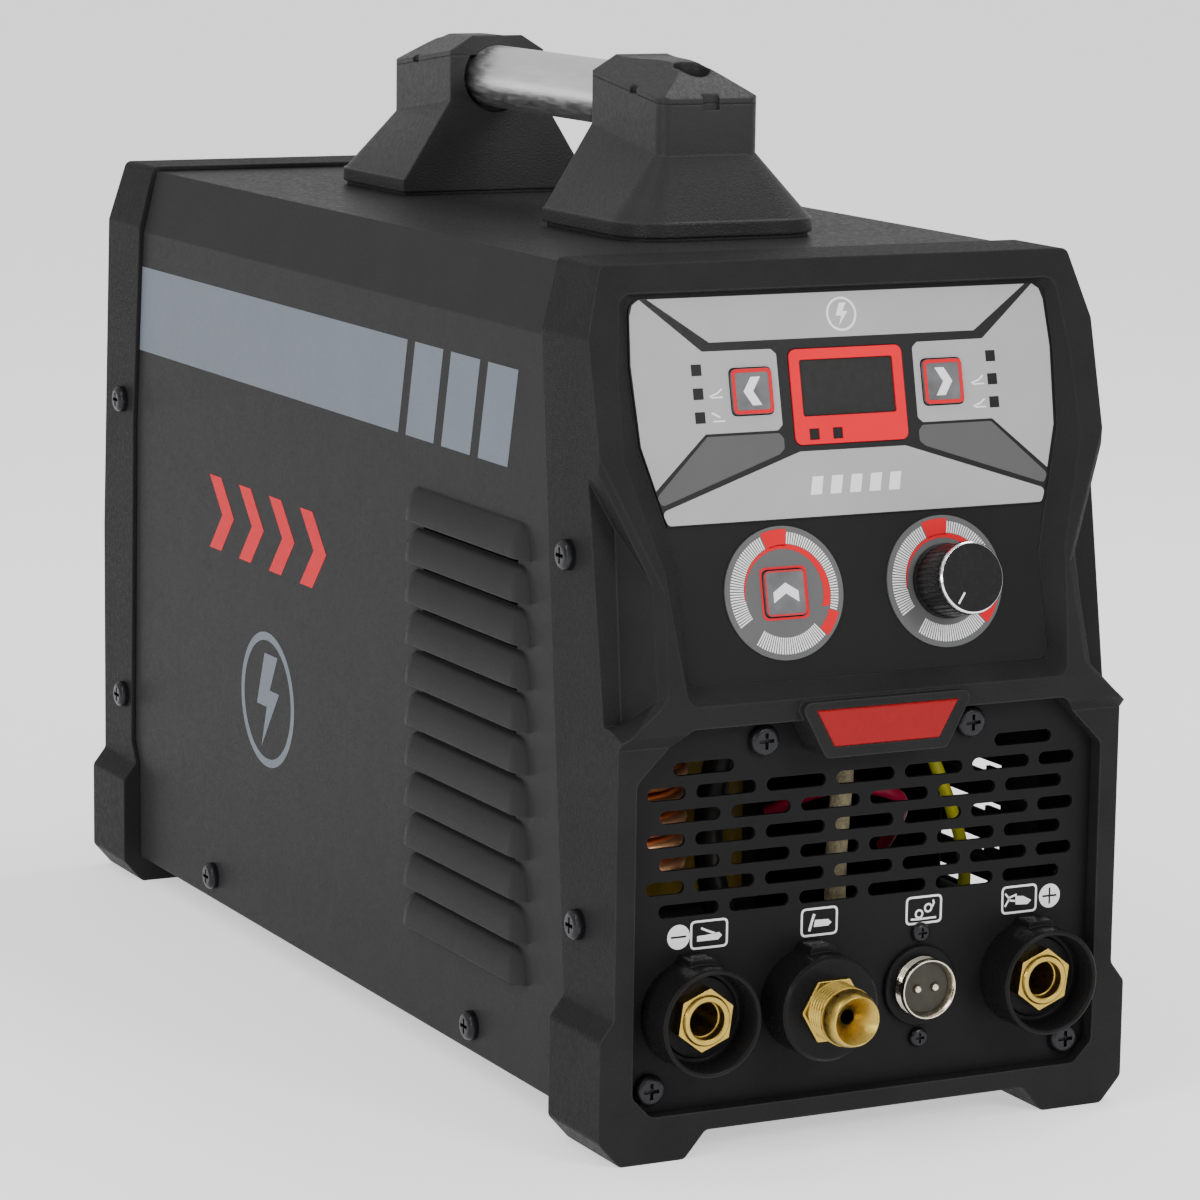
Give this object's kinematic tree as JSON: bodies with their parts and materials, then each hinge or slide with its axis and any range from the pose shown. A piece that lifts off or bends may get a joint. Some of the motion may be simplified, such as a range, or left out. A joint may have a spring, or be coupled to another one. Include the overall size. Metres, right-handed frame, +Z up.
{
  "type": "tig welding machine",
  "caption": "Portable inverter TIG welding machine: sheet cover with louvres between two moulded bezels, carrying handle, control panel, slotted connector panel and rear fan.",
  "frame": {"origin": "on the floor, under the middle of the machine's bounding box", "axes": "+Z up, +X to the right of somebody facing the front, +Y towards the back; the control panel and sockets face -Y"},
  "size_m": [0.155, 0.398, 0.2699],
  "materials": {
    "bezel": "fine moulded grain",
    "cover_paint": "dark grey powder coat",
    "base_steel": "dark grey powder coat",
    "panel_plastic": "smooth moulded face",
    "overlay": "printed film",
    "red_trim": "satin red",
    "display_lens": "smoked lens",
    "indicator": "unlit lens",
    "key": "printed film",
    "dial": "printed film",
    "knob_black": "fluted",
    "knob_aluminium": "turned",
    "knob_face": "gloss",
    "board_parts": "moulded",
    "shaft_steel": "ground",
    "panel_paint": "black powder coat",
    "screw_black": "black zinc",
    "socket_plastic": "moulded",
    "brass": "machined",
    "nickel": "nickel plated",
    "handle_plastic": "moulded, coarse grain on the flared foot",
    "handle_aluminium": "satin anodised",
    "fan_plastic": "moulded",
    "guard_wire": "bright plated",
    "switch_black": "moulded",
    "switch_red": "moulded",
    "gland_plastic": "moulded",
    "board": "solder mask",
    "sink": "extruded",
    "capacitor": "sleeved can",
    "ferrite": "ferrite",
    "tape": "polyester tape",
    "copper": "enamelled copper",
    "hose": "smooth",
    "earth_green": "yellow and green",
    "lead_red": "silicone lead"
  },
  "bodies": {
    "case": {"front_bezel": "bezel", "rear_bezel": "bezel", "cover": "cover_paint", "base_plate": "base_steel", "badge": "red_trim", "cover_screws": "screw_black", "control_panel": "panel_plastic", "panel_overlay": "overlay", "display_frame": "red_trim", "display_window": "display_lens", "indicator_lights": "indicator", "dial_plates": "dial", "potentiometer": "board_parts", "connector_panel": "panel_paint", "panel_screws": "screw_black", "socket_collars": "socket_plastic", "socket_inserts": "brass", "torch_collar": "socket_plastic", "torch_connector": "brass", "control_socket": "nickel", "control_insulator": "socket_plastic", "control_pins": "brass", "control_socket_screws": "screw_black", "front_handle_bracket": "handle_plastic", "rear_handle_bracket": "handle_plastic", "front_handle_cap": "handle_plastic", "rear_handle_cap": "handle_plastic", "handle_tube": "handle_aluminium", "handle_screws": "screw_black", "rear_panel": "panel_paint", "rear_panel_screws": "screw_black", "fan_frame": "fan_plastic", "fan_guard": "guard_wire", "fan_screws": "screw_black", "switch_housing": "switch_black", "cable_gland": "gland_plastic", "gas_inlet": "brass", "valve_body": "brass", "valve_coil": "board_parts", "gas_hoses": "hose", "earth_wire": "earth_green", "internal_leads": "lead_red", "main_board": "board", "board_standoffs": "brass", "heat_sinks": "sink", "capacitors": "capacitor", "transformer_core": "ferrite", "transformer_winding": "tape", "coupling_coil": "copper", "control_board": "board"},
    "knob_body": {"knob": "knob_black", "knob_ring": "knob_aluminium", "knob_cap": "knob_face", "potentiometer_shaft": "shaft_steel"},
    "left_key_body": {"left_key": "key"},
    "right_key_body": {"right_key": "key"},
    "mode_key_body": {"mode_key": "key"},
    "rocker": {"switch_rocker": "switch_red"},
    "fan": {"fan_rotor": "fan_plastic"},
    "plunger": {"valve_plunger": "shaft_steel"}
  },
  "joints": [
    {"name": "knob_turn", "type": "hinge", "parent": "case", "child": "knob_body", "pos_m": [0.0235, -0.1726, 0.1423], "axis": [0, 0.9746, -0.2241], "range_deg": [0, 300]},
    {"name": "left_key_press", "type": "slide", "parent": "case", "child": "left_key_body", "axis": [0, 0.9746, -0.2241], "range_m": [0, 0.0006], "stiffness_N_per_m": 1500, "springref_m": -0.0004},
    {"name": "right_key_press", "type": "slide", "parent": "case", "child": "right_key_body", "axis": [0, 0.9746, -0.2241], "range_m": [0, 0.0006], "stiffness_N_per_m": 1500, "springref_m": -0.0004},
    {"name": "mode_key_press", "type": "slide", "parent": "case", "child": "mode_key_body", "axis": [0, 0.9746, -0.2241], "range_m": [0, 0.0006], "stiffness_N_per_m": 1500, "springref_m": -0.0004},
    {"name": "rocker_tilt", "type": "hinge", "parent": "case", "child": "rocker", "pos_m": [-0.04, 0.168, 0.18], "axis": [1, 0, 0], "range_deg": [0, 22]},
    {"name": "fan_spin", "type": "hinge", "parent": "case", "child": "fan", "pos_m": [0, 0.16, 0.084], "axis": [0, 1, 0], "continuous": true},
    {"name": "plunger_lift", "type": "slide", "parent": "case", "child": "plunger", "axis": [0, 0, 1], "range_m": [0, 0.002], "stiffness_N_per_m": 400, "springref_m": -0.002}
  ]
}
